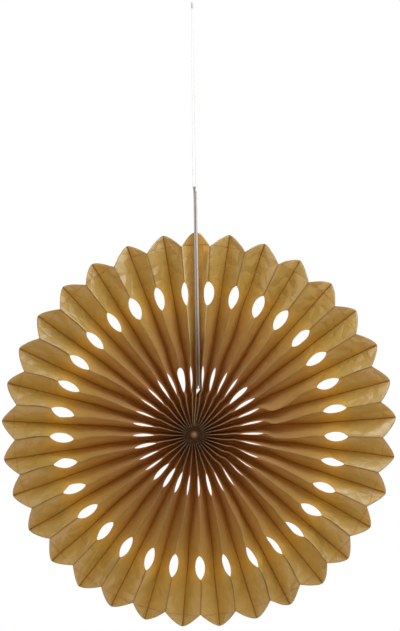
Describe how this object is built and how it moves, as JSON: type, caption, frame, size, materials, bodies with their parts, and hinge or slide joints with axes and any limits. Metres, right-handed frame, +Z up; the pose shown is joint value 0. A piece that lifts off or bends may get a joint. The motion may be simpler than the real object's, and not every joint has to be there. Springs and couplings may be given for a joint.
{
  "type": "hanging paper fan rosette",
  "caption": "Round pleated paper fan with scalloped petals and two rings of die-cut holes, joined between two cards at the top and hung from a thread loop.",
  "frame": {"origin": "top of the hanging thread loop, just under its knot", "axes": "+Z up, the fan's front faces -Y, +X to the right as seen from the front"},
  "size_m": [0.3994, 0.0291, 0.6321],
  "materials": {
    "gold_paper": "matte",
    "grey_card": "matte",
    "adhesive_tape": "satin",
    "brown_glue": "satin",
    "white_thread": "matte"
  },
  "bodies": {
    "root": {"pleated_paper": "gold_paper", "card_left": "grey_card", "card_right": "grey_card", "card_tape": "adhesive_tape", "hub_glue": "brown_glue", "hanging_thread": "white_thread", "thread_knot": "white_thread"}
  },
  "joints": []
}
